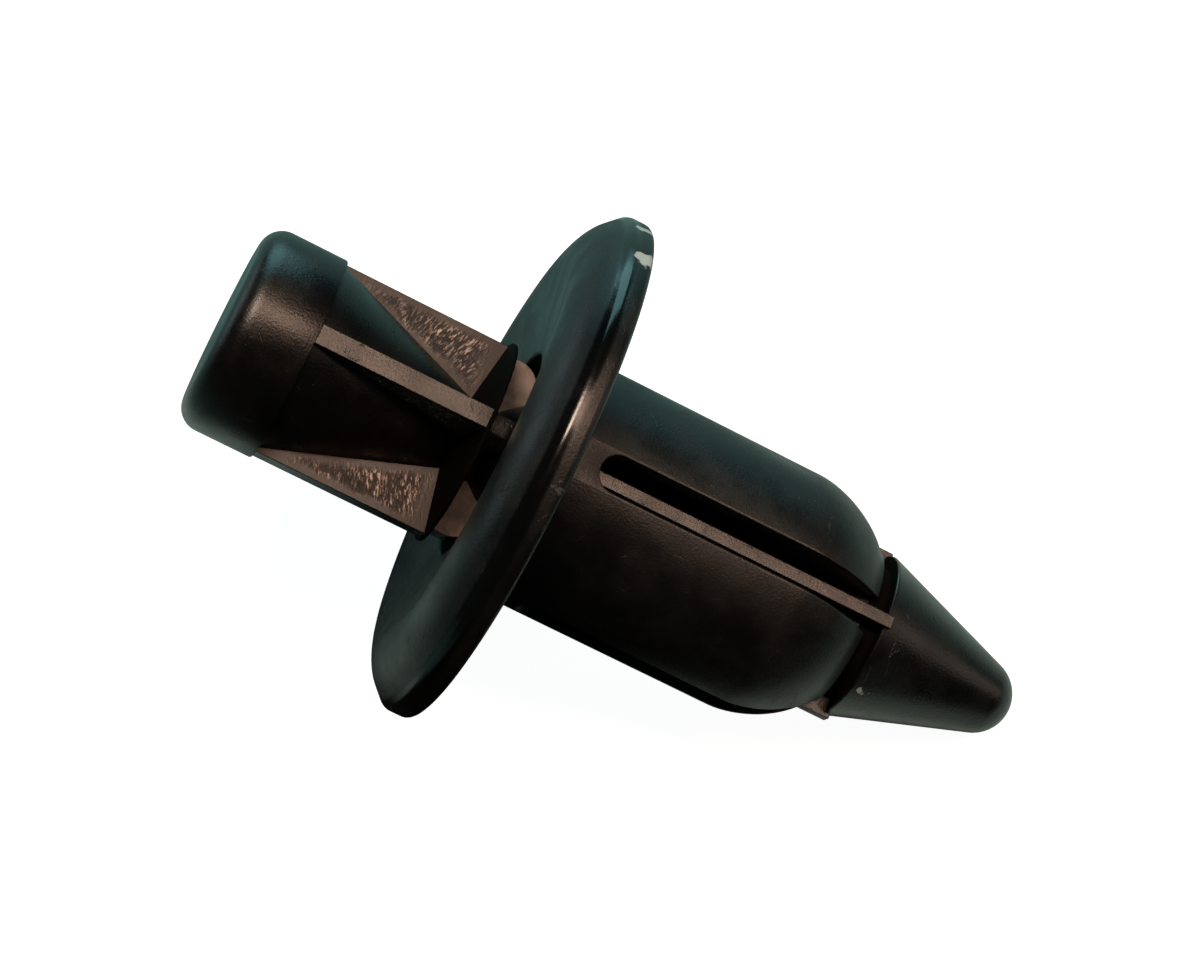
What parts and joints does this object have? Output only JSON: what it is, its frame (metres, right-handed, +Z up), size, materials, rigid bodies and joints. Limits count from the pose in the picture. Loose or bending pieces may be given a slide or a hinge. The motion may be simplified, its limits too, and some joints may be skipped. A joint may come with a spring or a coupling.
{
  "type": "plastic push rivet",
  "caption": "Plastic push rivet: flanged grommet with slotted legs, and a ribbed pin whose button slides down level with the flange to lock it.",
  "frame": {"origin": "on the table, under the middle of the rivet as it lies on the flange's rim and the nose's tip", "axes": "+Z up, +X from the button towards the nose, with the nose end of the rivet's axis tilted down from +X"},
  "size_m": [0.0264, 0.0168, 0.0156],
  "materials": {
    "grommet_plastic": "satin moulded black",
    "pin_plastic": "satin moulded black"
  },
  "bodies": {
    "grommet": {"grommet": "grommet_plastic"},
    "pin": {"pin": "pin_plastic"}
  },
  "joints": [
    {"name": "pin_push", "type": "slide", "parent": "grommet", "child": "pin", "axis": [0.9165, 0, -0.4001], "range_m": [-0.0003, 0.00855]}
  ]
}
